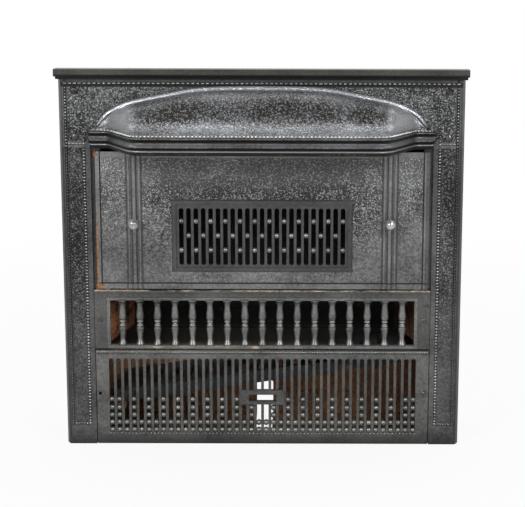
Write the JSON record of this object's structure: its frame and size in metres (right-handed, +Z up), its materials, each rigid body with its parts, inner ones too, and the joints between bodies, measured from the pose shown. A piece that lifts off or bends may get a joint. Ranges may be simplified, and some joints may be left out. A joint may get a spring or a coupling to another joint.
{
  "type": "coal fireplace front with fire chamber",
  "caption": "Beaded cast iron fireplace front with a curved hood, lift-off pierced cover, baluster gallery, pierced ash front, tilting grate and damper.",
  "frame": {"origin": "middle of the bounding box at the floor, midway between the hood's front edge and the rear bolt heads", "axes": "+X to the viewer's right, +Y from the front towards the chimney, +Z up"},
  "size_m": [0.76, 0.3286, 0.715],
  "materials": {
    "blacked_iron": "pebbled cast iron, blackened and polished",
    "smooth_iron": "smooth cast iron, blackened",
    "burnished_iron": "cast iron, brushed bright on its high parts",
    "polished_steel": "turned and polished",
    "rusted_iron": "bare cast iron, rusted by fire and damp",
    "sooted_iron": "cast iron, covered in soot",
    "grate_iron": "fire-scaled cast iron",
    "steel_bar": "plain steel bar, dulled",
    "bolt_steel": "blackened steel"
  },
  "bodies": {
    "frame": {"left_pilaster": "blacked_iron", "right_pilaster": "blacked_iron", "frieze_panel": "blacked_iron", "frieze_bolts": "bolt_steel", "cap_moulding": "smooth_iron", "cap_bolts": "bolt_steel", "hood": "blacked_iron", "hood_bolts": "bolt_steel", "baluster_gallery": "burnished_iron", "gallery_screws": "bolt_steel", "base_plate": "rusted_iron", "ash_side_left": "rusted_iron", "ash_side_right": "rusted_iron", "lower_back": "rusted_iron", "fire_cheek_left": "rusted_iron", "fire_cheek_right": "rusted_iron", "fire_back": "sooted_iron", "throat_plate": "sooted_iron", "damper_frame": "sooted_iron", "grate_rod": "steel_bar", "front_flange_bolts": "bolt_steel", "back_flange_bolts": "bolt_steel"},
    "cover": {"cover_plate": "blacked_iron", "knob_left": "polished_steel", "knob_right": "polished_steel", "knob_nuts": "bolt_steel"},
    "ash_plate": {"ash_front": "smooth_iron", "ash_front_screw": "bolt_steel"},
    "grate": {"fire_grate": "grate_iron"},
    "damper": {"damper_plate": "sooted_iron", "damper_rod": "steel_bar"}
  },
  "joints": [
    {"name": "cover_slide", "type": "slide", "parent": "frame", "child": "cover", "axis": [0, -1, 0], "range_m": [0, 0.16]},
    {"name": "ash_front_slide", "type": "slide", "parent": "frame", "child": "ash_plate", "axis": [0, -1, 0], "range_m": [0, 0.2]},
    {"name": "grate_hinge", "type": "hinge", "parent": "frame", "child": "grate", "pos_m": [0.284, 0.06, 0.173], "axis": [0, 1, 0], "range_deg": [0, 8.5]},
    {"name": "damper_hinge", "type": "hinge", "parent": "frame", "child": "damper", "pos_m": [0, 0.05975, 0.6115], "axis": [-1, 0, 0], "range_deg": [0, 60]}
  ]
}
